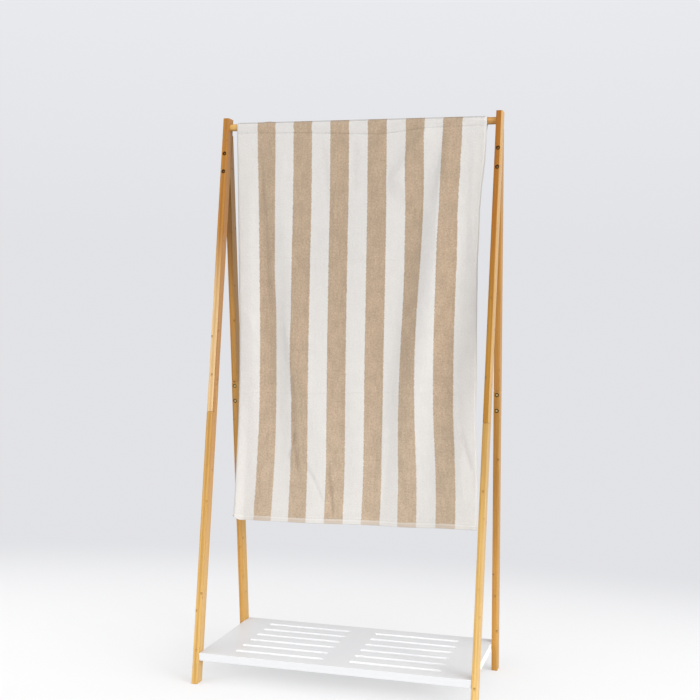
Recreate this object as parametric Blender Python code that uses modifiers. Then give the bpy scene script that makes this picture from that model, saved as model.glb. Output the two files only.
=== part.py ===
"""A striped beach towel hanging over the rod of a bamboo clothes rack with a slatted white shelf.

The rack stands on the floor at z = 0 with its rod along X and its front legs towards -Y. The
origin is on the floor under the middle of the rod. Each end is an A of two legs: the front leg
carries the rod, and the rear leg is bolted behind it on a long scarf. Every leg is a lower and
an upper board, joined by a bolted half-lap. The towel is one cloth: a long drop in front, a
turn over the rod and a short drop behind. Sizes are in metres.
"""

import math

import bmesh
import bpy
import numpy as np
from mathutils import Matrix, Vector

FIT = 0.0003  # between pieces that touch

# Rack
RACK_WIDTH = 0.816
RACK_HEIGHT = 1.620
LEAN = math.radians(7.1)  # of each leg, from the vertical
LEG_DEPTH = 0.035  # across the leg, seen from the rack's side
LEG_THICK = 0.018  # along the rod
LEG_ROUND = 0.0015
ROD_HEIGHT = 1.594
ROD_RADIUS = 0.010
ROD_SIDES = 32
SOCKET_DEPTH = 0.009
SCARF_TOP = 1.574  # the rear leg ends here, short of a feather edge
LAP_CENTRE = 0.813  # along the leg, from the floor
LAP_HALF = 0.040

# Shelf
SHELF_TOP = 0.088
SHELF_THICK = 0.022
SHELF_ROUND = 0.0008
SLOT_NEAR = 0.038  # a slot's ends, from the shelf's middle
SLOT_FAR = 0.299
SLOT_WIDTH = 0.016
SLOT_PITCH = 0.0592
SLOT_ROWS = 6
SLOT_ARC_STEPS = 6

# Bolts
HEAD_RADIUS = 0.0055
HEAD_HEIGHT = 0.0040
HEAD_RECESS = 0.0005
HEAD_CHAMFER = 0.0006
HEX_ACROSS = 0.0045
HEX_DEPTH = 0.0022
SHANK_RADIUS = 0.0030
BOLT_SIDES = 14
APEX_SHANK = 0.042
LAP_SHANK = 0.024
APEX_BOLTS = (("low", 1.4733), ("high", 1.5260))  # name, along the front leg from the floor
LAP_BOLTS = (("low", LAP_CENTRE - 0.018), ("high", LAP_CENTRE + 0.028))

# Towel: "across" is measured on the flat cloth from its middle, "along" from the rod's top
TOWEL_WIDTH = 0.731
TOWEL_THICK = 0.003
FRONT_LENGTH = 1.1640
BACK_LENGTH = 0.3260
STRIPES = 13
OUTER_STRIPE = 0.0630
COLUMNS_A_STRIPE = 3
WRAP_ROWS = 8
BACK_ROWS = 7
FRONT_SKEW = 0.0140  # the left edge hangs this share of the drop lower than the right one
CORNER_LIFT = 0.0150  # of the front hem's left corner
CORNER_WIDTH = 0.0260

# Kinks across the front drop where the cloth was quartered for storage: how far along the
# cloth, the stand towards the viewer, and the rows of faces down to it from the one above.
CREASES = (
    # along, stand, rows
    (0.0345, 0.0000, 1),
    (0.3970, 0.0030, 13),
    (0.7830, -0.0025, 13),
    (1.1400, 0.0020, 12),
    (FRONT_LENGTH, 0.0010, 2),
)

# Fold lines of the front drop, left to right. Each gives, at five heights, how far across the
# cloth it runs and how far it stands towards the viewer.
FOLD_HEIGHTS = (ROD_HEIGHT, 1.420, 1.200, 0.780, 0.448)
FOLDS = (
    # name, across, stand
    ("left edge", (-0.3655, -0.3655, -0.3655, -0.3655, -0.3655), (0.000, 0.001, 0.002, 0.001, 0.016)),
    ("left lip", (-0.335, -0.335, -0.335, -0.332, -0.330), (0.000, 0.001, 0.001, -0.002, -0.003)),
    ("left valley", (-0.290, -0.285, -0.285, -0.280, -0.262), (0.000, -0.003, -0.007, -0.008, 0.000)),
    ("left ridge", (-0.225, -0.218, -0.195, -0.145, -0.130), (0.000, 0.006, 0.015, 0.024, 0.007)),
    ("middle", (-0.110, -0.085, -0.050, -0.020, -0.010), (0.000, 0.003, 0.009, 0.004, -0.002)),
    ("slanting valley", (0.225, 0.190, 0.140, 0.075, 0.070), (0.000, -0.003, -0.014, -0.017, -0.004)),
    ("slanting ridge", (0.275, 0.262, 0.250, 0.195, 0.150), (0.000, 0.008, 0.022, 0.020, 0.006)),
    ("right valley", (0.330, 0.332, 0.326, 0.285, 0.275), (0.000, 0.001, 0.006, 0.006, -0.002)),
    ("right edge", (0.3655, 0.3655, 0.3655, 0.3655, 0.3655), (0.000, 0.004, 0.014, 0.012, 0.006)),
)
# At the same heights: the left edge's place along X, and the share of the cloth's width that
# is left by ripples too fine to model.
LEFT_EDGE = (-0.366, -0.360, -0.354, -0.351, -0.357)
RIPPLED = (1.000, 0.995, 0.991, 0.989, 0.999)

# Fold lines of the back drop: across, and the stand away from the viewer at the hem.
BACK_FOLDS = (
    # name, across, stand
    ("left edge", -0.3655, 0.006),
    ("left ridge", -0.280, 0.017),
    ("left valley", -0.175, 0.001),
    ("middle ridge", -0.040, 0.015),
    ("middle valley", 0.070, 0.002),
    ("right ridge", 0.180, 0.018),
    ("right valley", 0.280, 0.002),
    ("right edge", 0.3655, 0.010),
)
BACK_LEFT = -0.368  # the back hem's left end, along X

SIDES = (("left", -1), ("right", 1))
ENDS = (("front", -1), ("rear", 1))
INNER_FACE = RACK_WIDTH / 2 - LEG_THICK
LEG_MIDDLE = RACK_WIDTH / 2 - LEG_THICK / 2
HALF_DEPTH = LEG_DEPTH / 2


def clear_scene():
    for obj in list(bpy.data.objects):
        bpy.data.objects.remove(obj, do_unlink=True)


def new_collection(name):
    made = bpy.data.collections.new(name)
    bpy.context.scene.collection.children.link(made)
    return made


def new_material(name, colour, roughness, metallic=0.0):
    made = bpy.data.materials.new(name)
    made.use_nodes = True
    shader = made.node_tree.nodes["Principled BSDF"]
    shader.inputs["Base Color"].default_value = (*colour, 1.0)
    shader.inputs["Roughness"].default_value = roughness
    shader.inputs["Metallic"].default_value = metallic
    return made


def add_object(name, data, collection, material=None):
    made = bpy.data.objects.new(name, data)
    collection.objects.link(made)
    if material and not data.materials:
        data.materials.append(material)
    return made


def to_mesh(source, collection, material=None):
    """Replace a curve, or an object with modifiers, by a welded mesh in the same place."""
    bpy.context.view_layer.update()
    evaluated = source.evaluated_get(bpy.context.evaluated_depsgraph_get())
    mesh = bpy.data.meshes.new_from_object(evaluated)
    name = source.name
    place = source.matrix_world.copy()
    bpy.data.objects.remove(source, do_unlink=True)
    shape = bmesh.new()
    shape.from_mesh(mesh)
    bmesh.ops.remove_doubles(shape, verts=shape.verts, dist=0.00001)
    bmesh.ops.recalc_face_normals(shape, faces=shape.faces)
    shape.to_mesh(mesh)
    shape.free()
    mesh.name = name
    made = add_object(name, mesh, collection, material)
    made.matrix_world = place
    return made


def flat_shape(name, outlines, thick, collection):
    """A 2D curve of closed outlines, filled and extruded; inner outlines are holes."""
    curve = bpy.data.curves.new(name, "CURVE")
    curve.dimensions = "2D"
    curve.fill_mode = "BOTH"
    curve.extrude = thick / 2
    for outline in outlines:
        spline = curve.splines.new("POLY")
        spline.points.add(len(outline) - 1)
        for point, (x, y) in zip(spline.points, outline):
            point.co = (x, y, 0, 1)
        spline.use_cyclic_u = True
    return add_object(name, curve, collection)


def turned_shape(name, profile, sides, collection):
    """A closed solid of revolution; the profile of (radius, height) runs down from the axis."""
    mesh = bpy.data.meshes.new(name)
    shape = bmesh.new()
    points = [shape.verts.new((radius, 0, height)) for radius, height in profile]
    for start, end in zip(points, points[1:]):
        shape.edges.new((start, end))
    shape.to_mesh(mesh)
    shape.free()
    turned = add_object(name, mesh, collection)
    screw = turned.modifiers.new("Turn", "SCREW")
    screw.steps = screw.render_steps = sides
    screw.use_merge_vertices = True
    screw.merge_threshold = 0.00001
    return to_mesh(turned, collection)


def round_edges(obj, width, segments):
    bevel = obj.modifiers.new("Rounded edges", "BEVEL")
    bevel.width = width
    bevel.segments = segments
    bevel.limit_method = "ANGLE"
    bevel.angle_limit = math.radians(40)


def cut(obj, cutter):
    boolean = obj.modifiers.new("Cut", "BOOLEAN")
    boolean.operation = "DIFFERENCE"
    boolean.solver = "EXACT"
    boolean.object = cutter


def as_cutter(obj):
    obj.hide_render = True
    obj.display_type = "WIRE"
    return obj


def leg_point(end, along, across):
    """(y, z) of a point of a leg: along it from the floor, and across it towards the inside."""
    y = -ROD_HEIGHT * math.tan(LEAN) + along * math.sin(LEAN) + across * math.cos(LEAN)
    return (-end * y, along * math.cos(LEAN) - across * math.sin(LEAN))


def leg_at(end, height, across):
    """(y, z) where the line at that distance across a leg reaches a height."""
    y = (height - ROD_HEIGHT) * math.tan(LEAN) + across / math.cos(LEAN)
    return (-end * y, height)


def lower_board(end):
    """Side outline of a leg's lower board, whose inner half runs on up to the lap's top."""
    lap_low = LAP_CENTRE - LAP_HALF - FIT / 2
    lap_high = LAP_CENTRE + LAP_HALF - FIT / 2
    return [
        leg_at(end, 0, -HALF_DEPTH),
        leg_at(end, 0, HALF_DEPTH),
        leg_point(end, lap_high, HALF_DEPTH),
        leg_point(end, lap_high, FIT / 2),
        leg_point(end, lap_low, FIT / 2),
        leg_point(end, lap_low, -HALF_DEPTH),
    ]


def upper_board(end):
    """Side outline of a leg's upper board; the rear one ends in a scarf on the front leg."""
    lap_low = LAP_CENTRE - LAP_HALF + FIT / 2
    lap_high = LAP_CENTRE + LAP_HALF + FIT / 2
    lap = [
        leg_point(end, lap_low, -HALF_DEPTH),
        leg_point(end, lap_low, -FIT / 2),
        leg_point(end, lap_high, -FIT / 2),
        leg_point(end, lap_high, HALF_DEPTH),
    ]
    if end == -1:
        top = [leg_at(end, RACK_HEIGHT, HALF_DEPTH), leg_at(end, RACK_HEIGHT, -HALF_DEPTH)]
        return lap + top
    scarf_low = ROD_HEIGHT - (LEG_DEPTH + FIT) / (2 * math.sin(LEAN))
    front_face = HALF_DEPTH + FIT  # the back of the front leg, and the gap to it
    scarf = [
        leg_at(end, scarf_low, HALF_DEPTH),
        leg_at(-1, SCARF_TOP, front_face),
        leg_at(end, SCARF_TOP, -HALF_DEPTH),
    ]
    return lap + scarf


def bolt_mesh(name, shank, parts, material):
    """A socket-head bolt down -Z, its head's top just under the surface at z = 0."""
    head_top = -HEAD_RECESS
    bearing = head_top - HEAD_HEIGHT
    tip = bearing - shank
    profile = [
        (0, head_top),
        (HEAD_RADIUS - HEAD_CHAMFER, head_top),
        (HEAD_RADIUS, head_top - HEAD_CHAMFER),
        (HEAD_RADIUS, bearing),
        (SHANK_RADIUS, bearing),
        (SHANK_RADIUS, tip),
        (0, tip),
    ]
    bolt = turned_shape(name, profile, BOLT_SIDES, parts)
    bpy.ops.mesh.primitive_cylinder_add(
        vertices=6,
        radius=HEX_ACROSS / 2 / math.cos(math.pi / 6),
        depth=2 * HEX_DEPTH,
        location=(0, 0, head_top),
    )
    socket = bpy.context.object
    cut(bolt, socket)
    finished = to_mesh(bolt, parts, material)
    bpy.data.objects.remove(socket, do_unlink=True)
    finished.data.shade_smooth()
    finished.data.set_sharp_from_angle(angle=math.radians(35))
    mesh = finished.data
    bpy.data.objects.remove(finished, do_unlink=True)
    return mesh


def bore_mesh(name, shank, cutters):
    """The hole for such a bolt: a counterbore for its head and a bore for its shank."""
    counterbore = -HEAD_RECESS - HEAD_HEIGHT - FIT
    tip = -HEAD_RECESS - HEAD_HEIGHT - shank - 2 * FIT
    profile = [
        (0, HEAD_RADIUS),
        (HEAD_RADIUS + 2 * FIT, HEAD_RADIUS),
        (HEAD_RADIUS + 2 * FIT, counterbore),
        (SHANK_RADIUS + FIT, counterbore),
        (SHANK_RADIUS + FIT, tip),
        (0, tip),
    ]
    made = turned_shape(name, profile, BOLT_SIDES, cutters)
    mesh = made.data
    bpy.data.objects.remove(made, do_unlink=True)
    return mesh


def bolt_place(side, end, along, across):
    """Frame of a bolt: at a leg's face, its own Z out of that face."""
    y, z = leg_point(end, along, across)
    inward = Vector((0, -end * math.cos(LEAN), -math.sin(LEAN)))
    outward = inward if across > 0 else -inward
    turn = outward.to_track_quat("Z", "Y").to_matrix().to_4x4()
    return Matrix.Translation((side * LEG_MIDDLE, y, z)) @ turn


def make_legs(parts, cutters, bamboo, steel):
    boards = {}
    for side_name, side in SIDES:
        for end_name, end in ENDS:
            for level, outline in (("lower", lower_board(end)), ("upper", upper_board(end))):
                flat = flat_shape(f"leg_{end_name}_{side_name}_{level}", [outline], LEG_THICK, parts)
                flat.location = (side * LEG_MIDDLE, 0, 0)
                flat.rotation_euler = (math.pi / 2, 0, math.pi / 2)
                board = to_mesh(flat, parts, bamboo)
                round_edges(board, LEG_ROUND, 2)
                boards[side, end, level] = board
    add_bolts(boards, parts, cutters, steel)
    return boards


def add_bolts(boards, parts, cutters, steel):
    """Two bolts at each apex, from the front, and two through each half-lap, from inside."""
    kinds = {}
    for kind, shank in (("apex", APEX_SHANK), ("lap", LAP_SHANK)):
        bolt = bolt_mesh(f"{kind}_bolt", shank, parts, steel)
        kinds[kind] = (bolt, bore_mesh(f"{kind}_bore", shank, cutters))
    rows = []
    for side_name, side in SIDES:
        for level, along in APEX_BOLTS:
            joined = (boards[side, -1, "upper"], boards[side, 1, "upper"])
            place = bolt_place(side, -1, along, -HALF_DEPTH)
            rows.append(("apex", f"bolt_apex_{side_name}_{level}", place, joined))
        for end_name, end in ENDS:
            for level, along in LAP_BOLTS:
                joined = (boards[side, end, "upper"], boards[side, end, "lower"])
                place = bolt_place(side, end, along, HALF_DEPTH)
                rows.append(("lap", f"bolt_lap_{end_name}_{side_name}_{level}", place, joined))
    for kind, name, place, joined in rows:
        bolt, bore = kinds[kind]
        add_object(name, bolt, parts).matrix_world = place
        cutter = as_cutter(add_object(f"{name}_bore", bore, cutters))
        cutter.matrix_world = place
        for board in joined:
            cut(board, cutter)


def make_rod(boards, parts, cutters, bamboo):
    """A round rod let into a blind socket in each front leg."""
    for name, radius, reach, collection in (
        ("rod", ROD_RADIUS, SOCKET_DEPTH, parts),
        ("rod_socket", ROD_RADIUS + FIT, SOCKET_DEPTH + FIT, cutters),
    ):
        bpy.ops.mesh.primitive_cylinder_add(
            vertices=ROD_SIDES,
            radius=radius,
            depth=2 * (INNER_FACE + reach),
            location=(0, 0, ROD_HEIGHT),
            rotation=(0, math.pi / 2, 0),
        )
        made = bpy.context.object
        made.name = name
        made.data.name = name
        for home in made.users_collection:
            home.objects.unlink(made)
        collection.objects.link(made)
    rod = parts.objects["rod"]
    rod.data.materials.append(bamboo)
    rod.data.shade_smooth()
    rod.data.set_sharp_from_angle(angle=math.radians(35))
    socket = as_cutter(cutters.objects["rod_socket"])
    for _, side in SIDES:
        cut(boards[side, -1, "upper"], socket)


def slot_outline(middle_x, middle_y):
    """A slot with round ends, as one closed outline."""
    radius = SLOT_WIDTH / 2
    half = (SLOT_FAR - SLOT_NEAR) / 2 - radius
    outline = []
    for turn, centre in ((-math.pi / 2, middle_x + half), (math.pi / 2, middle_x - half)):
        for step in range(SLOT_ARC_STEPS + 1):
            angle = turn + math.pi * step / SLOT_ARC_STEPS
            outline.append((centre + radius * math.cos(angle), middle_y + radius * math.sin(angle)))
    return outline


def make_shelf(parts, white):
    """A board between the legs, flush with their outer faces, with two panels of slots."""
    half_x = INNER_FACE - FIT
    half_y = -leg_at(-1, SHELF_TOP, -HALF_DEPTH)[0]
    outlines = [[(-half_x, -half_y), (half_x, -half_y), (half_x, half_y), (-half_x, half_y)]]
    for _, side in SIDES:
        for row in range(SLOT_ROWS):
            middle_y = (row - (SLOT_ROWS - 1) / 2) * SLOT_PITCH
            outlines.append(slot_outline(side * (SLOT_NEAR + SLOT_FAR) / 2, middle_y))
    flat = flat_shape("shelf", outlines, SHELF_THICK, parts)
    flat.location = (0, 0, SHELF_TOP - SHELF_THICK / 2)
    shelf = to_mesh(flat, parts, white)
    round_edges(shelf, SHELF_ROUND, 1)


def smooth_through(heights, values, height):
    """A smooth curve through a table's values, whose heights fall from row to row."""
    falling = -np.array(heights)
    slopes = np.gradient(np.array(values), falling)
    place = np.clip(-height, falling[0], falling[-1])
    row = min(np.searchsorted(falling, place, side="right") - 1, len(values) - 2)
    span = falling[row + 1] - falling[row]
    t = (place - falling[row]) / span
    start = values[row] * (1 + 2 * t) * (1 - t) ** 2 + slopes[row] * span * t * (1 - t) ** 2
    return start + values[row + 1] * t * t * (3 - 2 * t) - slopes[row + 1] * span * t * t * (1 - t)


def stand_between(lines, across):
    """How far the cloth stands out between fold lines of (across, stand)."""
    for (left, low), (right, high) in zip(lines, lines[1:]):
        if across <= right:
            t = (across - left) / (right - left)
            return low + (high - low) * t * t * (3 - 2 * t)
    return lines[-1][1]


def front_stand(across, along, height):
    lines = [
        (smooth_through(FOLD_HEIGHTS, places, height), smooth_through(FOLD_HEIGHTS, stands, height))
        for _, places, stands in FOLDS
    ]
    kinks = [0.0] + [stand for _, stand, _ in CREASES]
    kink = np.interp(along, [0.0] + [reach for reach, _, _ in CREASES], kinks)
    return stand_between(lines, across) + kink


def back_stand(across, along):
    lines = [(place, stand) for _, place, stand in BACK_FOLDS]
    return stand_between(lines, across) * (along / BACK_LENGTH) ** 1.5


def towel_columns():
    """The grid's columns across the flat cloth, a few to each stripe."""
    inner_stripe = (TOWEL_WIDTH - 2 * OUTER_STRIPE) / (STRIPES - 2)
    edges = [-TOWEL_WIDTH / 2]
    for stripe in range(STRIPES):
        width = inner_stripe if 0 < stripe < STRIPES - 1 else OUTER_STRIPE
        first = edges[-1]
        edges += [first + width * (n + 1) / COLUMNS_A_STRIPE for n in range(COLUMNS_A_STRIPE)]
    return edges


def towel_rows(quarter_turn):
    """The grid's rows along the cloth, from the front hem to the back hem."""
    rows = list(np.linspace(-BACK_LENGTH, -quarter_turn, BACK_ROWS, endpoint=False))
    rows += list(np.linspace(-quarter_turn, quarter_turn, WRAP_ROWS + 1))
    for along, _, count in CREASES:
        rows += list(np.linspace(rows[-1], along, count + 1))[1:]
    return rows[::-1]


def towel_row(along, columns, wrap_radius):
    """The points of one row of the draped cloth's middle surface."""
    quarter_turn = wrap_radius * math.pi / 2
    drop = max(abs(along) - quarter_turn, 0.0)
    angle = math.copysign(min(abs(along), quarter_turn), along) / wrap_radius
    height = ROD_HEIGHT - drop
    points = []
    x = smooth_through(FOLD_HEIGHTS, LEFT_EDGE, height)
    if along < 0:
        x = LEFT_EDGE[0] + (BACK_LEFT - LEFT_EDGE[0]) * drop / BACK_LENGTH
    rippled = smooth_through(FOLD_HEIGHTS, RIPPLED, height)
    last = None
    for across in columns:
        stand = 0.0
        if drop > 0:
            stand = front_stand(across, along, height) if along > 0 else back_stand(across, drop)
        if last:
            step = rippled * (across - last[0])
            x += math.sqrt(max(step**2 - (stand - last[1]) ** 2, 0.0))
        last = (across, stand)
        y = -wrap_radius * math.sin(angle) - (stand if along > 0 else -stand)
        z = ROD_HEIGHT + wrap_radius * math.cos(angle)
        if drop > 0:
            skew = FRONT_SKEW * across / TOWEL_WIDTH if along > 0 else 0.0
            z = ROD_HEIGHT - drop * (1 - skew)
        corner = 1 - (across + TOWEL_WIDTH / 2) / CORNER_WIDTH
        if corner > 0 and along > FRONT_LENGTH - 2 * CORNER_WIDTH:
            share = 1 - (FRONT_LENGTH - along) / (2 * CORNER_WIDTH)
            z += CORNER_LIFT * (corner * share) ** 2
            y -= CORNER_LIFT * (corner * share) ** 2 / 2
        points.append((x, y, z))
    return points


def make_towel(parts, white, beige):
    """One striped cloth, draped on its middle surface and given its thickness."""
    wrap_radius = ROD_RADIUS + FIT + TOWEL_THICK / 2
    columns = towel_columns()
    rows = towel_rows(wrap_radius * math.pi / 2)
    bpy.ops.mesh.primitive_grid_add(x_subdivisions=len(columns) - 1, y_subdivisions=len(rows) - 1)
    towel = bpy.context.object
    towel.name = "towel"
    mesh = towel.data
    mesh.name = "towel"
    for home in towel.users_collection:
        home.objects.unlink(towel)
    parts.objects.link(towel)
    draped = [point for along in rows for point in towel_row(along, columns, wrap_radius)]
    for vertex, point in zip(mesh.vertices, draped):
        vertex.co = point
    mesh.materials.append(white)
    mesh.materials.append(beige)
    for face in mesh.polygons:
        column = face.index % (len(columns) - 1)
        face.material_index = column // COLUMNS_A_STRIPE % 2
    mesh.shade_smooth()
    thicken = towel.modifiers.new("Thickness", "SOLIDIFY")
    thicken.thickness = TOWEL_THICK
    thicken.offset = 0


def main():
    clear_scene()
    parts = new_collection("Towel on a clothes rack")
    cutters = new_collection("Cutters")
    bamboo = new_material("Bamboo", (0.60, 0.36, 0.13), 0.42)
    steel = new_material("Steel", (0.62, 0.60, 0.56), 0.30, metallic=1.0)
    paint = new_material("White paint", (0.86, 0.87, 0.89), 0.45)
    white = new_material("White terry", (0.82, 0.80, 0.76), 0.95)
    beige = new_material("Beige terry", (0.52, 0.39, 0.26), 0.95)
    boards = make_legs(parts, cutters, bamboo, steel)
    make_rod(boards, parts, cutters, bamboo)
    make_shelf(parts, paint)
    make_towel(parts, white, beige)


main()
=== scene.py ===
"""Looks of a striped beach towel that hangs over the rod of a bamboo clothes rack.

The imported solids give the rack's shape; here they get their bamboo, paint and bolt finishes. The
towel's plain solid is replaced by a fine mesh on the same folds, with its creases, hems, pile and
stitching. Sizes are in metres, in the solids' own frame: the rod lies along X, the viewer stands
towards -Y and the floor is at z = 0.
"""

import math

import bpy
import numpy as np
from mathutils import Matrix, Vector


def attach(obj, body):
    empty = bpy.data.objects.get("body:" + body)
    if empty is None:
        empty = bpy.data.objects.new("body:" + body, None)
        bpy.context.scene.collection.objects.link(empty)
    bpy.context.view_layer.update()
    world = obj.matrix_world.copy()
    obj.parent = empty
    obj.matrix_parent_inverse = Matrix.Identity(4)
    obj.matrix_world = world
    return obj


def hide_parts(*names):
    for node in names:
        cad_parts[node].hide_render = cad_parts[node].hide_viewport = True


# Camera: a 36 mm wide sensor whose picture is 700 pixels wide and high
CAMERA_PLACE = (0.8505, -3.1891, 1.0514)
CAMERA_YAW = 0.2649  # to the left of +Y
CAMERA_DROP = 0.0646  # below the horizontal
CAMERA_ROLL = 0.0177
LENS_MM = 59.02
SENSOR_MM = 36.0
SHIFT_UP = 0.0571  # a share of the picture's side

# Rack: its legs lean inwards, and the laps and bolts lie this far along a leg from the floor
LEAN = math.radians(7.1)
ROD_HEIGHT = 1.594
ROD_RADIUS = 0.010
LEG_DEPTH = 0.035
LEG_MIDDLE = 0.399  # x of the right-hand legs' middle
LAP_CENTRE = 0.813
APEX_BOLTS = (("low", 1.4733), ("high", 1.5260))
LAP_BOLTS = (("low", LAP_CENTRE - 0.018), ("high", LAP_CENTRE + 0.028))

# Towel: "across" is measured on the flat cloth from its middle, "along" from the rod's top
TOWEL_WIDTH = 0.731
TOWEL_THICK = 0.003
BARE_SHARE = 0.6  # of the thickness, where the cloth has no pile
REST_GAP = 0.0003  # between the rod and the cloth
FRONT_LENGTH = 1.1640
BACK_LENGTH = 0.3260
OUTER_STRIPE = 0.0630
INNER_STRIPES = 11
INNER_STRIPE = (TOWEL_WIDTH - 2 * OUTER_STRIPE) / INNER_STRIPES
FRONT_SKEW = 0.0140  # share by which the front drop is shorter on the right than on the left
CORNER_LIFT = 0.0150  # of the front hem's left corner, which curls up over this width
CORNER_WIDTH = 0.0260
HEM_BAND = 0.0145  # flat woven end of the cloth, without pile
HEM_TURN = 0.0090  # the turned-up edge within it
SELVEDGE = 0.0050  # flat woven strip along each side
CLOTH_COLUMNS = 173
ROW_STEPS = (
    # as far along the cloth as this, rows lie this far apart
    (-0.3100, 0.0030),
    (-0.0300, 0.0085),
    (0.0280, 0.0042),
    (0.0560, 0.0015),
    (0.3880, 0.0060),
    (0.4120, 0.0018),
    (0.7700, 0.0060),
    (0.7960, 0.0020),
    (1.1440, 0.0060),
    (FRONT_LENGTH, 0.0020),
)

# Kinks where the cloth was quartered: how far along, and the stand towards the viewer
KINKS = (
    (0.0, 0.0),
    (0.0345, 0.0),
    (0.3970, 0.0030),
    (0.7830, -0.0025),
    (1.1400, 0.0020),
    (FRONT_LENGTH, 0.0010),
)

# Fold lines of the front drop, left to right: across and stand at each of five heights
FOLD_HEIGHTS = (ROD_HEIGHT, 1.420, 1.200, 0.780, 0.448)
FOLDS = (
    # across, stand
    ((-0.3655, -0.3655, -0.3655, -0.3655, -0.3655), (0.000, 0.001, 0.002, 0.001, 0.016)),
    ((-0.335, -0.335, -0.335, -0.332, -0.330), (0.000, 0.001, 0.001, -0.002, -0.003)),
    ((-0.290, -0.285, -0.285, -0.280, -0.262), (0.000, -0.003, -0.007, -0.008, 0.000)),
    ((-0.225, -0.218, -0.195, -0.145, -0.130), (0.000, 0.006, 0.015, 0.024, 0.007)),
    ((-0.110, -0.085, -0.050, -0.020, -0.010), (0.000, 0.003, 0.009, 0.004, -0.002)),
    ((0.225, 0.190, 0.140, 0.075, 0.070), (0.000, -0.003, -0.014, -0.017, -0.004)),
    ((0.275, 0.262, 0.250, 0.195, 0.150), (0.000, 0.008, 0.022, 0.020, 0.006)),
    ((0.330, 0.332, 0.326, 0.285, 0.275), (0.000, 0.001, 0.006, 0.006, -0.002)),
    ((0.3655, 0.3655, 0.3655, 0.3655, 0.3655), (0.000, 0.004, 0.014, 0.012, 0.006)),
)
# At the same heights: x of the left edge, and the share of the width that fine ripples leave
LEFT_EDGE = (-0.366, -0.360, -0.354, -0.351, -0.357)
RIPPLED = (1.000, 0.995, 0.991, 0.989, 0.999)

# How much further right than its folds say the front drop's right side hangs. At the first of these
# places across it is 0.
PULL_PLACES = (0.1700, 0.2400, 0.3025, 0.3655)
PULLS = (
    # height, and the pull at each of the other places
    (0.448, 0.0000, 0.0020, 0.0030),
    (0.590, -0.0006, 0.0015, 0.0042),
    (0.730, -0.0022, 0.0008, 0.0034),
    (0.800, -0.0028, 0.0006, 0.0042),
    (0.870, -0.0025, 0.0010, 0.0070),
    (0.935, -0.0020, 0.0012, 0.0068),
    (1.070, -0.0020, 0.0010, 0.0036),
    (1.140, -0.0026, 0.0000, 0.0010),
    (1.210, -0.0043, -0.0011, -0.0026),
    (1.280, -0.0070, -0.0054, -0.0050),
    (1.340, -0.0074, -0.0098, -0.0094),
    (1.410, -0.0064, -0.0102, -0.0084),
    (1.485, -0.0058, -0.0080, -0.0026),
    (1.555, -0.0042, -0.0058, 0.0000),
    (1.594, -0.0040, -0.0050, 0.0000),
)

# Fold lines of the back drop: across, and the stand away from the viewer at its hem
BACK_FOLDS = (
    (-0.3655, 0.006),
    (-0.280, 0.017),
    (-0.175, 0.001),
    (-0.040, 0.015),
    (0.070, 0.002),
    (0.180, 0.018),
    (0.280, 0.002),
    (0.3655, 0.010),
)
BACK_SWELL = 1.5  # the power by which they deepen on the way down
BACK_LEFT = -0.368  # x of the hem's left corner
BACK_TUCK = -0.0150  # how much further right its right corner hangs
BACK_TUCK_SWELL = 0.7

# Pressed creases from storage, with painted shade along them: straight runs on the flat cloth
CREASES = (
    # from (across, along), to (across, along), height, half-width
    ((-0.3655, 0.0370), (-0.1500, 0.0410), -0.0022, 0.0030),
    ((-0.1500, 0.0410), (0.0600, 0.0500), -0.0026, 0.0030),
    ((0.0600, 0.0500), (0.1950, 0.0350), -0.0026, 0.0030),
    ((0.1950, 0.0350), (0.3655, 0.0330), -0.0014, 0.0028),
    ((-0.3655, 0.3965), (0.3655, 0.4060), -0.0006, 0.0028),
    ((-0.3655, 0.7900), (0.3655, 0.7750), 0.0006, 0.0035),
)
# Painted shade along a crease: the share of light lost for each metre of its height
CREASE_SHADE = 75.0  # share of the light lost along a crease, for each metre of its height

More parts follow.
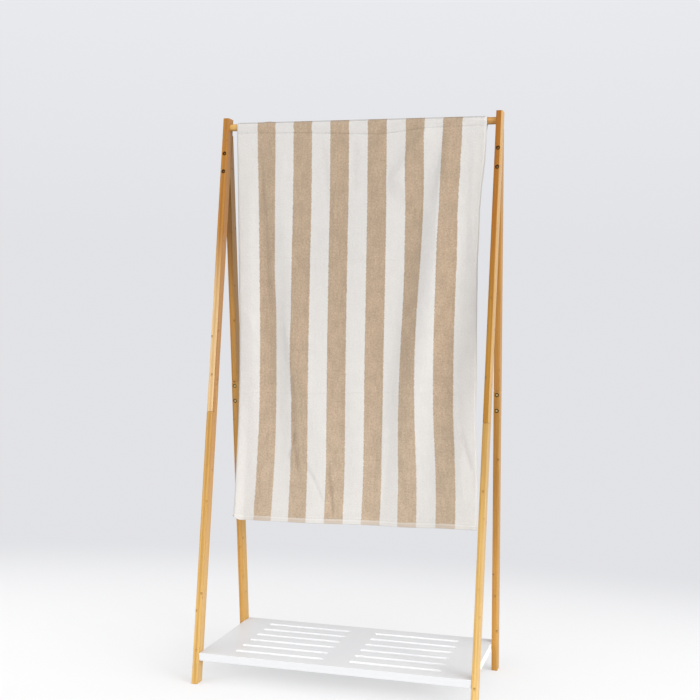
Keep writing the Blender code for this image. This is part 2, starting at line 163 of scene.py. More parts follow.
# Soft wrinkles and small folds of the front drop
WRINKLES = (
    # from (across, along), to (across, along), height, half-width or those of its two flanks
    ((0.218, 0.0150), (0.082, 0.2250), 0.0120, (0.0220, 0.0500)),
    ((0.268, 0.0050), (0.238, 0.2700), 0.0050, (0.0120, 0.0300)),
    ((0.333, 0.0300), (0.348, 0.4300), 0.0028, 0.0110),
    ((0.318, 0.8700), (0.352, 1.0100), -0.0026, 0.0070),
    ((0.310, 0.9300), (0.330, 1.1000), 0.0015, 0.0080),
    ((-0.400, 1.1400), (0.400, 1.1400), -0.0006, 0.0050),
    ((-0.285, 0.0800), (-0.252, 0.5600), 0.0055, (0.0120, 0.0400)),
    ((-0.292, 0.1050), (-0.285, 0.2400), -0.0022, 0.0060),
    ((-0.218, 0.5500), (-0.160, 0.8200), 0.0045, (0.0140, 0.0300)),
    ((-0.176, 0.8950), (-0.206, 0.9850), -0.0036, 0.0055),
    ((-0.182, 0.9300), (-0.166, 1.0200), -0.0036, 0.0055),
    ((-0.188, 0.7600), (-0.180, 0.9600), -0.0026, 0.0100),
    ((-0.268, 0.8850), (-0.292, 0.9600), -0.0026, 0.0050),
    ((-0.300, 1.0300), (-0.285, 1.1100), -0.0018, 0.0050),
    ((-0.160, 0.9600), (-0.110, 1.0500), -0.0018, 0.0050),
    ((-0.124, 1.0200), (-0.088, 1.1000), -0.0018, 0.0045),
    ((-0.078, 0.9700), (-0.064, 1.0900), -0.0036, 0.0055),
    ((-0.070, 1.0500), (-0.056, 1.1450), -0.0040, 0.0060),
    ((0.090, 0.8600), (0.070, 1.1300), 0.0030, 0.0110),
    ((0.150, 0.9800), (0.166, 1.1300), -0.0020, 0.0070),
    ((0.296, 0.7700), (0.318, 0.9300), 0.0022, 0.0080),
    ((-0.105, 0.0500), (-0.085, 0.2600), -0.0016, 0.0100),
    ((-0.005, 0.0450), (-0.012, 0.2300), -0.0016, 0.0120),
    ((0.070, 0.1400), (0.055, 0.3600), 0.0016, 0.0120),
    ((-0.345, 0.5400), (-0.300, 0.6600), 0.0018, 0.0100),
)
# Painted shade in the troughs of wrinkles that dip
WRINKLE_SHADE = 26.0  # how dark those that dip are, for each metre of their depth
TOP_LUMP = (-0.270, 0.012, 0.0025, 0.0120)  # a bulge over the rod: across, along, height, radius

# Random relief of the cloth, which comes in over this much of each drop below the rod
RELIEF_START = 0.06
RIPPLES = (
    # its cells' size across and along, height, seed
    (0.0300, 0.2100, 0.00070, 3),
    (0.0220, 0.0500, 0.00040, 5),
    (0.0095, 0.0110, 0.00018, 8),
)

# The terry's yarns: each colour's two tones of loops, and of the flat edges' inner and turned part
WHITE_LOOPS = ((0.640, 0.617, 0.586), (0.672, 0.653, 0.627))
SAND_LOOPS = ((0.410, 0.302, 0.203), (0.470, 0.358, 0.251))
WHITE_EDGE = ((0.610, 0.590, 0.562), (0.665, 0.650, 0.624))
SAND_EDGE = ((0.500, 0.425, 0.352), (0.560, 0.488, 0.412))
SAND_BY_HEM = (0.590, 0.480, 0.362)  # the beige pales towards the front hem
# Painted shade at the beige loops' feet
SAND_FEET_SHADE = (0.300, 0.205, 0.124)
SAND_TIPS = (0.640, 0.520, 0.390)
LOOPS_A_METRE = (560, 430, 1)  # across and along
RIB_WAVES = (6800, 5200)  # radians a metre of the flat edges' weave, across and along

# Painted shade where the cloth turns over the rod: how far along, the distances from there at which
# it is darkest and at which the shade ends, and the share of light that is left
SHADE_OVER_ROD = 0.0035
SHADE_OVER_ROD_REACH = (0.0040, 0.0085)
LIGHT_LEFT_OVER_ROD = 0.70

# A patch of the front drop with painted shade: its middle across and along, the distances from
# there at which it starts and is full, and the share of light lost
DIM_PATCH_MIDDLE = (-0.06, 0.66)
DIM_PATCH_ACROSS = (0.23, 0.05)
DIM_PATCH_ALONG = (0.60, 0.25)
DIM_PATCH_SHADE = 0.075

# Thread of the hems' seams
STITCH_LENGTH = 0.0027
STITCH_PITCH = 0.0036
STITCH_BODY = (0.22, 0.78)  # between these shares of its length a stitch is as thick as the thread
THREAD_RADIUS = 0.00032
THREAD_RISE = 0.4  # how far its axis lies above the cloth's face, as a share of its radius
THREAD_TONES = ((0.52, 0.46, 0.39), (0.66, 0.62, 0.56))

# Bamboo: its glued strips' widths, which are counted from this far before the origin, its nodes'
# spacing, its boards' tones, and the lengths between which these change
LEG_STRIPS = (0.0060, 0.0117)
ROD_STRIPS = (0.0400, 0.0050)
STRIPS_FROM = (0.408, 0.5)
NODE_SPACING = 0.262
PALE_STRIP = 0.4040  # the right-hand legs' fronts are as pale as their sides from here outwards
# The boards' tones carry painted shade and sheen as well as the bamboo's own colour
BAMBOO_TONES = (
    # board, its front and back at the top and the foot,
    # its sides at the top and the foot
    # painted sheen: this board's front pales towards its foot
    ("front_left_upper", (0.345, 0.152, 0.026), (0.566, 0.386, 0.196),
     (0.366, 0.171, 0.046), (0.396, 0.201, 0.066)),
    ("front_left_lower", (0.446, 0.251, 0.072), (0.540, 0.333, 0.108),
     (0.466, 0.251, 0.086), (0.586, 0.376, 0.141)),
    ("front_right_upper", (0.300, 0.112, 0.010), (0.340, 0.165, 0.024),
     (0.512, 0.317, 0.131), (0.512, 0.322, 0.135)),
    ("front_right_lower", (0.420, 0.248, 0.070), (0.600, 0.392, 0.142),
     (0.478, 0.314, 0.132), (0.606, 0.416, 0.181)),
    # painted shadow of the front legs at this board's top, by the apex
    ("rear_left_upper", (0.216, 0.104, 0.030), (0.446, 0.226, 0.058),
     (0.456, 0.256, 0.086), (0.466, 0.266, 0.091)),
    ("rear_left_lower", (0.456, 0.241, 0.066), (0.496, 0.271, 0.078),
     (0.576, 0.346, 0.106), (0.616, 0.376, 0.111)),
    ("rear_right_upper", (0.406, 0.186, 0.040), (0.446, 0.216, 0.054),
     (0.400, 0.202, 0.050), (0.410, 0.212, 0.055)),
    ("rear_right_lower", (0.416, 0.206, 0.050), (0.505, 0.257, 0.059),
     (0.435, 0.237, 0.068), (0.485, 0.277, 0.088)),
)
# The rod's tones, laid out as the boards': darker at the right-hand end with painted shade next to
# the legs
ROD_TONES = (
    (0.540, 0.318, 0.104), (0.450, 0.235, 0.066),
    (0.560, 0.340, 0.110), (0.470, 0.250, 0.076),
)
BOARD_ENDS = {"upper": (1.02, 1.32), "lower": (0.05, 0.75)}
ROD_ENDS = (-0.4, 0.4)

# Paint: two tones of the shelf's top, its dust, painted shade on its edges and painted light on its
# slots' walls
PAINT_TOP = ((0.655, 0.661, 0.673), (0.685, 0.689, 0.697))
PAINT_DUST = (0.65, 0.64, 0.63)
PAINT_EDGE_SHADE = (0.605, 0.611, 0.618)
PAINT_SLOT_LIGHT = (0.820, 0.824, 0.830)
SLOTS_END = (0.170, 0.160)  # upright faces nearer than this to the shelf's middle are slots' walls

# Bolts: each kind's metal, and how far from its axis the rim of painted shade starts
APEX_HEAD = ((0.36, 0.20, 0.05), 0.0024)
LAP_HEAD = ((0.85, 0.68, 0.34), 0.0036)
# Painted shade around the bolt head's rim
BOLT_RIM_SHADE = (0.060, 0.024, 0.008)
RIM_BLUR = 0.0006
TURNING_WAVES = 21000  # radians a metre of the marks left by the lathe

# Floor: near the rack it is painted, with a share of glow, and fades from there into the horizon's
# colour, over these distances in front and behind and twice as far at the sides
FLOOR_SIZE = 80
FLOOR_FADE = (0.5, 1.8)
FLOOR_SQUEEZE = (0.5, 1.0, 1.0)
FLOOR_PAINT = (0.84, 0.84, 0.843, 1.0)
NEAR_FLOOR_GLOW = (0.950, 0.950, 0.955)
NEAR_FLOOR_SHARE = 0.42
HORIZON = (0.760, 0.765, 0.790)

# The studio's own light; its heights are the sines of the angle above the horizon
SKY_STRENGTH = 2.0
SKY = (
    # height, colour
    (0.000, HORIZON),
    (0.060, HORIZON),
    (0.260, (0.815, 0.822, 0.850)),
    (0.330, (1.720, 1.730, 1.750)),
    (0.600, (1.720, 1.730, 1.750)),
    (0.700, (1.000, 1.000, 1.005)),
    (1.000, (0.950, 0.950, 0.955)),
)
SOFT_SIDE = (0.57, -0.82, 0.0)  # where its bright band is strongest
SOFT_TURN = (-0.6, 0.9)  # cosines of the angle to there, away from it and towards it
SOFT_RANGE = (0.8, 2.8)  # the band's strength at these
SOFT_START = (0.26, 0.33)  # the heights between which it comes in

# Square area lights
LIGHTS = (
    # name, place, target, side's length, power, colour
    ("Key", (7.8, -5.1, 2.1), (0, 0, 0), 3.6, 390, (1.0, 0.985, 0.96)),
    ("Fill", (-2.4, -2.4, 1.15), (0, 0, -0.6), 1.3, 16, (0.98, 0.99, 1.0)),
    ("Left", (-3.0, -0.6, 1.0), (0, 0, 0.40), 1.4, 11, (1.0, 1.0, 1.0)),
    ("Right", (3.0, -0.6, 1.0), (0, 0, 0.40), 1.4, 14, (1.0, 1.0, 1.0)),
)

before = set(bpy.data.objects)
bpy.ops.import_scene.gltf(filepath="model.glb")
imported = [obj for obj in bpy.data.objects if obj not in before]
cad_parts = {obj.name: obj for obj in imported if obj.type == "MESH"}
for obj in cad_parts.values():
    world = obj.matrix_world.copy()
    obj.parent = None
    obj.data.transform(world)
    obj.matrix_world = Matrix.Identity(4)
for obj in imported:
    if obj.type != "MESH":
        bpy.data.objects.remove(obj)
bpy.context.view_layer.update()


class Graph:
    """A new material's nodes, with short ways to add and join them."""

    def __init__(self, name):
        self.material = bpy.data.materials.new(name)
        self.material.use_nodes = True
        self.tree = self.material.node_tree
        self.shader = self.tree.nodes["Principled BSDF"]

    def set(self, **values):
        """Fixed values on the shader's own sockets, by their names with underscores."""
        for name, value in values.items():
            self.shader.inputs[name.replace("_", " ")].default_value = value

    def join(self, source, socket):
        self.tree.links.new(source, socket)

    def add(self, kind, inputs, **settings):
        """A node with its inputs by name or number: each takes a value or another node's socket."""
        node = self.tree.nodes.new(kind)
        for name, value in settings.items():
            setattr(node, name, value)
        for name, value in inputs.items():
            if isinstance(value, bpy.types.NodeSocket):
                self.join(value, node.inputs[name])
            else:
                node.inputs[name].default_value = value
        return node

    def math(self, operation, first, second=0.0, third=0.0):
        inputs = {0: first, 1: second, 2: third}
        return self.add("ShaderNodeMath", inputs, operation=operation).outputs[0]

    def plus(self, first, second):
        return self.math("ADD", first, second)

    def minus(self, first, second):
        return self.math("SUBTRACT", first, second)

    def times(self, first, second):
        return self.math("MULTIPLY", first, second)

    def absolute(self, value):
        return self.math("ABSOLUTE", value)

    def mix(self, share, first, second, blend="MIX"):
        """Two colours in one; a colour is three numbers or a socket."""
        inputs = {0: share, 6: as_colour(first), 7: as_colour(second)}
        settings = {"data_type": "RGBA", "blend_type": blend, "clamp_factor": True}
        return self.add("ShaderNodeMix", inputs, **settings).outputs[2]

    def tint(self, tone, by):
        """A colour times another one."""
        return self.mix(1.0, tone, by, blend="MULTIPLY")

    def spread(self, value, low, high, new_low=0.0, new_high=1.0):
        """The value's range low to high, eased into a new one."""
        inputs = {0: value, 1: low, 2: high, 3: new_low, 4: new_high}
        return self.add("ShaderNodeMapRange", inputs, interpolation_type="SMOOTHSTEP").outputs[0]

    def place(self, source, scale=(1, 1, 1), turn=(0, 0, 0), shift=(0, 0, 0), kind="POINT"):
        inputs = {"Vector": source, "Location": shift, "Rotation": turn, "Scale": scale}
        return self.add("ShaderNodeMapping", inputs, vector_type=kind).outputs[0]

    def noise(self, source, scale, detail):
        inputs = {"Vector": source, "Scale": scale, "Detail": detail}
        return self.add("ShaderNodeTexNoise", inputs).outputs[0]

    def split(self, source):
        return self.add("ShaderNodeSeparateXYZ", {0: source}).outputs

    def build(self, x, y, z):
        return self.add("ShaderNodeCombineXYZ", {0: x, 1: y, 2: z}).outputs[0]

    def chance(self, source):
        """A random number for each vector."""
        return self.add("ShaderNodeTexWhiteNoise", {0: source}, noise_dimensions="3D").outputs[0]

    def bump(self, height, depth):
        """Raise the surface by that height map, whose 1 stands for the depth."""
        node = self.add("ShaderNodeBump", {"Height": height, "Distance": depth, "Strength": 1.0})
        self.join(node.outputs[0], self.shader.inputs["Normal"])

    def colour(self, socket):
        self.join(socket, self.shader.inputs["Base Color"])

    def roughness(self, socket):
        self.join(socket, self.shader.inputs["Roughness"])


def as_colour(value):
    return value if isinstance(value, bpy.types.NodeSocket) else (*value, 1.0)


def terry_material():
    """Looped pile in white and beige stripes, with flat woven hems and selvedges."""
    graph = Graph("Terry")
    graph.set(Roughness=0.95, Specular_IOR_Level=0.25, Sheen_Weight=0.22, Sheen_Roughness=0.55)
    cloth = graph.add("ShaderNodeUVMap", {}, uv_map="Cloth").outputs[0]
    across, along, _ = graph.split(cloth)

    # The pile's loops: rows of small uneven cells, taller than they are wide
    loops = graph.add(
        "ShaderNodeTexVoronoi",
        {"Vector": graph.place(cloth, scale=LOOPS_A_METRE), "Scale": 1.0, "Randomness": 0.85},
        voronoi_dimensions="2D",
    )
    crown = graph.spread(loops.outputs["Distance"], 0.62, 0.05)
    shade = graph.chance(loops.outputs["Position"])
    grain = graph.noise(cloth, scale=190, detail=3.0)
    drift = graph.noise(cloth, scale=22, detail=3.0)
    streaks = graph.noise(graph.place(cloth, scale=(130, 16, 1)), scale=1.0, detail=2.0)

    # Stripes, whose edges wander by half a loop
    wander = graph.times(graph.minus(graph.noise(cloth, scale=170, detail=2.0), 0.5), 0.0052)
    first = TOWEL_WIDTH / 2 - OUTER_STRIPE
    inwards = graph.plus(graph.plus(across, wander), first)
    steps = graph.math("DIVIDE", inwards, INNER_STRIPE)
    steps = graph.math("MINIMUM", graph.math("MAXIMUM", steps, -0.5), INNER_STRIPES + 0.5)
    wave = graph.math("SINE", graph.times(steps, math.pi))
    beige = graph.spread(wave, -0.055, 0.055)

    # How far from the nearer hem and selvedge
    to_front = graph.minus(FRONT_LENGTH, along)
    to_back = graph.plus(along, BACK_LENGTH)
    to_hem = graph.math("MINIMUM", to_front, to_back)
    to_side = graph.minus(TOWEL_WIDTH / 2, graph.absolute(across))
    ragged = graph.plus(to_hem, graph.times(wander, 0.8))
    above_hem = graph.spread(ragged, HEM_BAND - 0.0006, HEM_BAND + 0.0006)
    inside_edge = graph.spread(to_side, SELVEDGE - 0.0010, SELVEDGE + 0.0010)
    pile = graph.times(above_hem, inside_edge)

    # Yarns: each loop differs a little, and the beige ones carry painted shade at their feet inside
    # the pile
    white = graph.mix(shade, *WHITE_LOOPS)
    sand = graph.mix(shade, *SAND_LOOPS)
    sand = graph.mix(graph.spread(along, 0.55, 1.10, 0.0, 0.26), sand, SAND_BY_HEM)
    sand = graph.mix(graph.spread(grain, 0.52, 0.30, 0.0, 0.34), sand, SAND_FEET_SHADE)
    sand = graph.mix(graph.spread(grain, 0.54, 0.72, 0.0, 0.20), sand, SAND_TIPS)
    yarn = graph.mix(beige, white, sand)
    turned = graph.spread(to_hem, HEM_TURN - 0.0008, HEM_TURN + 0.0008)
    woven = graph.mix(beige, graph.mix(turned, *WHITE_EDGE), graph.mix(turned, *SAND_EDGE))
    yarn = graph.mix(pile, woven, yarn)

    # Painted shade on the pile: between its loops, darker towards the top, on a patch and where the
    # cloth turns over the rod; and the pile's own uneven tone in grain, streaks and clouds
    depth = graph.spread(crown, 0.0, 1.0, 0.92, 1.0)
    depth = graph.times(depth, graph.spread(grain, 0.30, 0.70, 0.975, 1.010))
    # Painted shade, darker towards the top of the towel
    depth = graph.times(depth, graph.spread(along, 0.0, 0.8, 0.915, 1.005))
    from_middle = graph.absolute(graph.minus(across, DIM_PATCH_MIDDLE[0]))
    dim_patch = graph.spread(graph.absolute(graph.minus(along, DIM_PATCH_MIDDLE[1])), *DIM_PATCH_ALONG)
    dim_patch = graph.times(dim_patch, graph.spread(from_middle, *DIM_PATCH_ACROSS))
    depth = graph.times(depth, graph.math("MULTIPLY_ADD", dim_patch, -DIM_PATCH_SHADE, 1.0))
    over_rod_distance = graph.absolute(graph.minus(along, SHADE_OVER_ROD))
    depth = graph.times(depth, graph.spread(over_rod_distance, *SHADE_OVER_ROD_REACH, LIGHT_LEFT_OVER_ROD, 1.0))
    uneven = graph.plus(graph.times(drift, 0.55), graph.times(streaks, 0.45))
    uneven = graph.spread(uneven, 0.35, 0.65, -1.0, 1.0)
    uneven = graph.times(uneven, graph.math("MULTIPLY_ADD", beige, 0.055, 0.015))
    depth = graph.times(depth, graph.plus(uneven, 0.995))

    # Painted shade along the creases, whose lines waver
    for start, end, sag, width in CREASES:
        slope = (end[1] - start[1]) / (end[0] - start[0])
        line = graph.math("MULTIPLY_ADD", across, slope, start[1] - slope * start[0])
        line = graph.plus(graph.minus(along, line), graph.times(graph.minus(drift, 0.5), 0.009))
        middle, half = (start[0] + end[0]) / 2, abs(end[0] - start[0]) / 2
        inside = graph.math("COMPARE", across, middle, half)
        painted_shade = graph.spread(graph.absolute(line), width, 0.0, 0.0, CREASE_SHADE * abs(sag))
        painted_shade = graph.times(graph.times(painted_shade, inside), graph.spread(grain, 0.75, 0.35))
        painted_shade = graph.times(painted_shade, graph.spread(drift, 0.40, 0.60, 0.5, 1.6))
        depth = graph.times(depth, graph.minus(1.0, painted_shade))
    depth = graph.add("ShaderNodeMix", {0: pile, 2: 0.97, 3: depth}, data_type="FLOAT").outputs[0]
    tone = graph.tint(yarn, graph.build(depth, depth, depth))

    # Painted shade, warm and dark, in the troughs of wrinkles that dip, and painted shade on the
    # selvedge's rim
    trough_shade = graph.add("ShaderNodeAttribute", {}, attribute_name="TroughShade").outputs["Fac"]
    trough_shade = graph.times(trough_shade, graph.spread(grain, 0.75, 0.35, 0.6, 1.2))
    tone = graph.mix(trough_shade, tone, graph.tint(tone, (0.10, 0.0, 0.0)))
    # Painted shade that dims the selvedge's rim
    rim_shade = graph.spread(to_side, 0.0030, SELVEDGE, 0.82, 1.0)
    graph.colour(graph.tint(tone, graph.build(rim_shade, rim_shade, rim_shade)))

    # Relief: loops on the pile, fine ribs on the woven edges, a groove at the hem's seam
    tufts = graph.plus(crown, graph.times(grain, 1.2))
    ribs = graph.math("SINE", graph.times(along, RIB_WAVES[1]))
    weft = graph.math("SINE", graph.times(across, RIB_WAVES[0]))
    ribs = graph.plus(graph.math("MULTIPLY_ADD", ribs, 0.12, 0.1), graph.times(weft, 0.08))
    height = graph.add("ShaderNodeMix", {0: pile, 2: ribs, 3: tufts}, data_type="FLOAT").outputs[0]
    seam = graph.absolute(graph.minus(to_hem, HEM_TURN))
    height = graph.minus(height, graph.spread(seam, 0.0012, 0.0, 0.0, 0.8))
    graph.bump(height, depth=0.0005)
    return graph.material


def thread_material():
    """Off-white twisted cotton thread."""
    graph = Graph("Thread")
    graph.set(Roughness=0.8, Sheen_Weight=0.2)
    place = graph.add("ShaderNodeTexCoord", {}).outputs["Object"]
    twist = graph.noise(place, scale=2600, detail=2.0)
    graph.colour(graph.mix(twist, *THREAD_TONES))
    graph.bump(twist, depth=0.0002)
    return graph.material


def bamboo_material(name, turn, strips, ends, tones):
    """Laminated bamboo under satin lacquer, its fibres along the turned Z axis.

    Strips are the widths of its glued strips along the turned X and Y axes. Tones are those of its
    front and back, then of its sides, each at the top and at the foot of the given ends.
    """
    graph = Graph(name)
    graph.set(Specular_IOR_Level=0.15, Coat_Weight=0.045, Coat_Roughness=0.22)
    place = graph.add("ShaderNodeTexCoord", {}).outputs["Object"]
    inside = graph.place(place, turn=turn)
    x, y, z = graph.split(inside)

    # Each strip has a tone of its own, and its nodes lie at its own heights
    counted_x = graph.math("DIVIDE", graph.plus(x, STRIPS_FROM[0]), strips[0])
    counted_y = graph.math("DIVIDE", graph.plus(y, STRIPS_FROM[1]), strips[1])
    column = graph.math("FLOOR", counted_x)
    layer = graph.math("FLOOR", counted_y)
    strip = graph.chance(graph.build(column, layer, 0.0))
    other = graph.chance(graph.build(layer, column, 7.0))
    normal = graph.add("ShaderNodeNewGeometry", {}).outputs["Normal"]
    sideways = graph.spread(graph.absolute(graph.split(normal)[0]), 0.45, 0.75)
    pale = graph.spread(x, PALE_STRIP - 0.0004, PALE_STRIP + 0.0004)
    sideways = graph.math("MAXIMUM", sideways, pale)
    height = graph.spread(z, *ends)
    # The tones carry painted shade and sheen along with the bamboo's own colour
    front_tone = graph.mix(height, tones[1], tones[0])
    side_tone = graph.mix(height, tones[3], tones[2])
    tone = graph.mix(sideways, front_tone, side_tone)
    tone = graph.tint(tone, graph.mix(strip, (0.92, 0.90, 0.86), (1.09, 1.11, 1.15)))

    # Long fine fibres and wider streaks
    fibres = graph.noise(graph.place(inside, scale=(1500, 1500, 16)), scale=1.0, detail=2.0)
    streaks = graph.noise(graph.place(inside, scale=(260, 260, 5)), scale=1.0, detail=3.0)
    grain = graph.plus(graph.times(fibres, 0.5), graph.times(streaks, 0.5))
    veined = graph.mix(graph.spread(grain, 0.36, 0.60), (0.83, 0.78, 0.68), (1.04, 1.04, 1.03))
    tone = graph.tint(tone, veined)
    flecks = graph.noise(graph.place(inside, scale=(1900, 1900, 60)), scale=1.0, detail=1.0)
    tone = graph.mix(graph.spread(flecks, 0.66, 0.74, 0.0, 0.30), tone, (0.28, 0.14, 0.045))

    # Nodes: a thin dark line in a soft brown smudge
    turns = graph.plus(graph.math("DIVIDE", z, NODE_SPACING), graph.times(other, 5.0))
    reach = graph.minus(graph.math("FRACT", turns), 0.5)
    waver = graph.times(graph.minus(graph.noise(inside, scale=210, detail=1.0), 0.5), 0.006)
    reach = graph.plus(reach, waver)
    line = graph.spread(graph.absolute(reach), 0.0075, 0.0020)
    swelling = graph.spread(graph.absolute(graph.plus(reach, 0.012)), 0.020, 0.0)
    which = graph.chance(graph.build(column, layer, graph.math("FLOOR", turns)))
    bold = graph.spread(which, 0.30, 0.95, 0.08, 1.0)
    tone = graph.mix(graph.times(swelling, graph.times(bold, 0.6)), tone, (0.26, 0.115, 0.026))
    tone = graph.mix(graph.times(line, graph.times(bold, 0.8)), tone, (0.17, 0.07, 0.02))

    # Thin glue lines between strips
    side = graph.math("FRACT", counted_x)
    depth = graph.math("FRACT", counted_y)
    glue_x = graph.spread(graph.math("PINGPONG", side, 0.5), 0.045, 0.0)
    glue_y = graph.spread(graph.math("PINGPONG", depth, 0.5), 0.030, 0.0)
    glue = graph.math("MAXIMUM", glue_x, glue_y)
    tone = graph.mix(graph.times(glue, 0.16), tone, (0.25, 0.12, 0.04))

    # End grain is darker and dotted
    axis = Matrix.Rotation(-turn[0], 3, "X") @ Matrix.Rotation(-turn[1], 3, "Y") @ Vector((0, 0, 1))
    along = graph.add("ShaderNodeVectorMath", {0: normal, 1: axis}, operation="DOT_PRODUCT")
    cut_end = graph.spread(graph.absolute(along.outputs["Value"]), 0.86, 0.93)
    pores = graph.add("ShaderNodeTexVoronoi", {"Vector": inside, "Scale": 900.0})
    dots = graph.spread(pores.outputs["Distance"], 0.1, 0.5)
    end_tone = graph.mix(dots, (0.24, 0.12, 0.045), (0.52, 0.31, 0.13))
    graph.colour(graph.mix(cut_end, tone, end_tone))

    graph.roughness(graph.spread(streaks, 0.3, 0.7, 0.34, 0.46))
    relief = graph.plus(graph.times(fibres, 0.35), graph.times(swelling, 0.2))
    relief = graph.minus(relief, graph.times(graph.math("MAXIMUM", line, glue), 0.4))
    graph.bump(relief, depth=0.00010)
    return graph.material


def paint_material():
    """White satin lacquer, sprayed on board: a faint orange peel and thin dust.

    The slots' cut walls are whiter than the board's top with painted light, and its edges darker
    with painted shade.
    """
    graph = Graph("White lacquer")
    graph.set(Specular_IOR_Level=0.5, Coat_Weight=0.08, Coat_Roughness=0.3)
    place = graph.add("ShaderNodeTexCoord", {}).outputs["Object"]
    cloud = graph.noise(place, scale=7, detail=4.0)
    dust = graph.noise(place, scale=900, detail=2.0)
    paint = graph.mix(graph.spread(cloud, 0.3, 0.7), *PAINT_TOP)
    paint = graph.mix(graph.spread(dust, 0.66, 0.80, 0.0, 0.25), paint, PAINT_DUST)
    across = graph.absolute(graph.split(place)[1])
    normal = graph.add("ShaderNodeNewGeometry", {}).outputs["Normal"]
    upright = graph.spread(graph.absolute(graph.split(normal)[2]), 0.8, 0.4)
    # Upright faces: painted shade on the edges, painted light on the slots' walls
    wall = graph.mix(graph.spread(across, *SLOTS_END), PAINT_EDGE_SHADE, PAINT_SLOT_LIGHT)
    graph.colour(graph.mix(upright, paint, wall))
    graph.roughness(graph.spread(cloud, 0.3, 0.7, 0.36, 0.48))
    graph.bump(graph.noise(place, scale=420, detail=1.5), depth=0.00008)
    return graph.material


def bolt_material(name, centre, turn, metal, shade_start):
    """Browned steel with painted shade around the head's rim, and turning marks and stains."""
    graph = Graph(name)
    graph.set(Metallic=0.95, Specular_IOR_Level=0.2)
    place = graph.add("ShaderNodeTexCoord", {}).outputs["Object"]
    inside = graph.place(place, turn=turn, shift=centre, kind="TEXTURE")
    x, y, _ = graph.split(inside)
    squares = graph.plus(graph.times(x, x), graph.times(y, y))
    radius = graph.math("SQRT", squares)
    rings = graph.math("SINE", graph.times(radius, TURNING_WAVES))
    stain = graph.noise(inside, scale=700, detail=3.0)
    worn = graph.mix(graph.spread(stain, 0.35, 0.65), metal, tuple(0.6 * part for part in metal))
    outwards = graph.plus(radius, graph.times(stain, 0.0008))
    rim_shade = graph.spread(outwards, shade_start - RIM_BLUR, shade_start + RIM_BLUR)
    graph.colour(graph.mix(rim_shade, worn, BOLT_RIM_SHADE))
    graph.roughness(graph.spread(stain, 0.3, 0.7, 0.28, 0.50))
    graph.bump(graph.plus(graph.times(rings, 0.3), stain), depth=0.00006)
    return graph.material


def floor_material():
    """A plain pale floor that runs out into the horizon's colour."""
    graph = Graph("Pale floor")
    graph.set(Base_Color=FLOOR_PAINT, Roughness=0.7, Specular_IOR_Level=0.2)
    place = graph.add("ShaderNodeTexCoord", {}).outputs["Object"]
    place = graph.place(place, scale=FLOOR_SQUEEZE)
    far = graph.add("ShaderNodeVectorMath", {0: place}, operation="LENGTH").outputs["Value"]
    tone = graph.mix(graph.spread(far, *FLOOR_FADE), NEAR_FLOOR_GLOW, HORIZON)
    glow = graph.add("ShaderNodeEmission", {"Color": tone, "Strength": 1.0}).outputs[0]
    share = graph.spread(far, *FLOOR_FADE, NEAR_FLOOR_SHARE, 1.0)
    surface = graph.add("ShaderNodeMixShader", {0: share, 1: graph.shader.outputs[0], 2: glow})
    output = graph.tree.nodes["Material Output"]
    graph.join(surface.outputs[0], output.inputs["Surface"])
    return graph.material


def ease(share):
    return share * share * (3 - 2 * share)


def through_table(values, heights):
    """A smooth curve through a table's values at the fold heights, read at other heights."""
    falling = -np.array(FOLD_HEIGHTS)
    values = np.array(values)
    slopes = np.gradient(values, falling)
    place = np.clip(-heights, falling[0], falling[-1])
    row = np.minimum(np.searchsorted(falling, place, side="right") - 1, len(values) - 2)
    span = falling[row + 1] - falling[row]
    t = (place - falling[row]) / span
    start = values[row] * (1 + 2 * t) * (1 - t) ** 2 + slopes[row] * span * t * (1 - t) ** 2
    return start + values[row + 1] * t * t * (3 - 2 * t) - slopes[row + 1] * span * t * t * (1 - t)


def stand_between(places, stands, across):
    """How far the cloth stands out; places and stands hold a row for each fold line."""
    stand = np.broadcast_to(stands[-1][:, None], (stands.shape[1], len(across)))
    for line in range(len(places) - 2, -1, -1):
        left, right = places[line][:, None], places[line + 1][:, None]
        low, high = stands[line][:, None], stands[line + 1][:, None]
        share = ease(np.clip((across[None] - left) / (right - left), 0, 1))
        stand = np.where(across[None] <= right, low + (high - low) * share, stand)
    return stand


def soft_noise(across, along, cell_across, cell_along, seed):
    """Smooth random bumps from -1 to 1 over the flat cloth."""
    draw = np.random.default_rng(seed)
    u = (across - across.min()) / cell_across
    v = (along - along.min()) / cell_along
    values = draw.uniform(-1, 1, (int(v.max()) + 2, int(u.max()) + 2))
    u_cell, v_cell = u.astype(int), v.astype(int)
    u_share = ease(u - u_cell)[None]
    v_share = ease(v - v_cell)[:, None]
    rows = values[:, u_cell] * (1 - u_share) + values[:, u_cell + 1] * u_share
    return rows[v_cell] * (1 - v_share) + rows[v_cell + 1] * v_share


def wrinkle(across, along, start, end, height, width):
    """A soft ridge or trough along a straight run, fading out at both ends.

    The width is one half-width, or those of its left and right flank.
    """
    run = np.array(end) - np.array(start)
    length = np.hypot(*run)
    u, v = across[None] - start[0], along[:, None] - start[1]
    share = (u * run[0] + v * run[1]) / length**2
    aside = (u * run[1] - v * run[0]) / length
    fade = ease(np.clip(share / 0.25, 0, 1)) * ease(np.clip((1 - share) / 0.25, 0, 1))
    left, right = np.broadcast_to(width, 2)
    return height * fade * np.exp(-((aside / np.where(aside < 0, left, right)) ** 2))


def crease(across, along, start, end, height, width):
    """A sharp fold line across the cloth, of even depth between its ends, on a wider soft swell."""
    line = np.interp(across, (start[0], end[0]), (start[1], end[1]))[None]
    within = (across >= start[0]) & (across < end[0])
    away = np.abs(along[:, None] - line) / width
    return within * height * (0.75 * np.exp(-away) + 0.25 * np.exp(-((away / 4) ** 2)))


